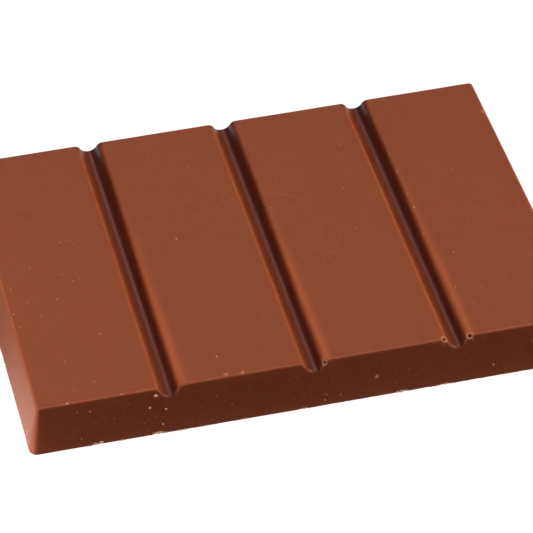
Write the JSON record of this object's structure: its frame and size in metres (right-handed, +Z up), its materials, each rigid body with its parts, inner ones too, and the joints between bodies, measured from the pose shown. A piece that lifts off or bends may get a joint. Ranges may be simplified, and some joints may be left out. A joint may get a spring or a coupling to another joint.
{
  "type": "chocolate bar",
  "caption": "Moulded milk chocolate bar: a low slab with leaning sides, crossed by rounded snap grooves that part it into flat panels.",
  "frame": {"origin": "middle of the flat base that the bar rests on", "axes": "+X along the bar from panel to panel, +Y along the grooves from the front face to the back one, +Z up through the thickness"},
  "size_m": [0.0874, 0.0684, 0.0074],
  "materials": {
    "milk_chocolate": "smooth tempered milk chocolate with a soft satin gloss"
  },
  "bodies": {
    "root": {"chocolate_bar": "milk_chocolate"}
  },
  "joints": []
}
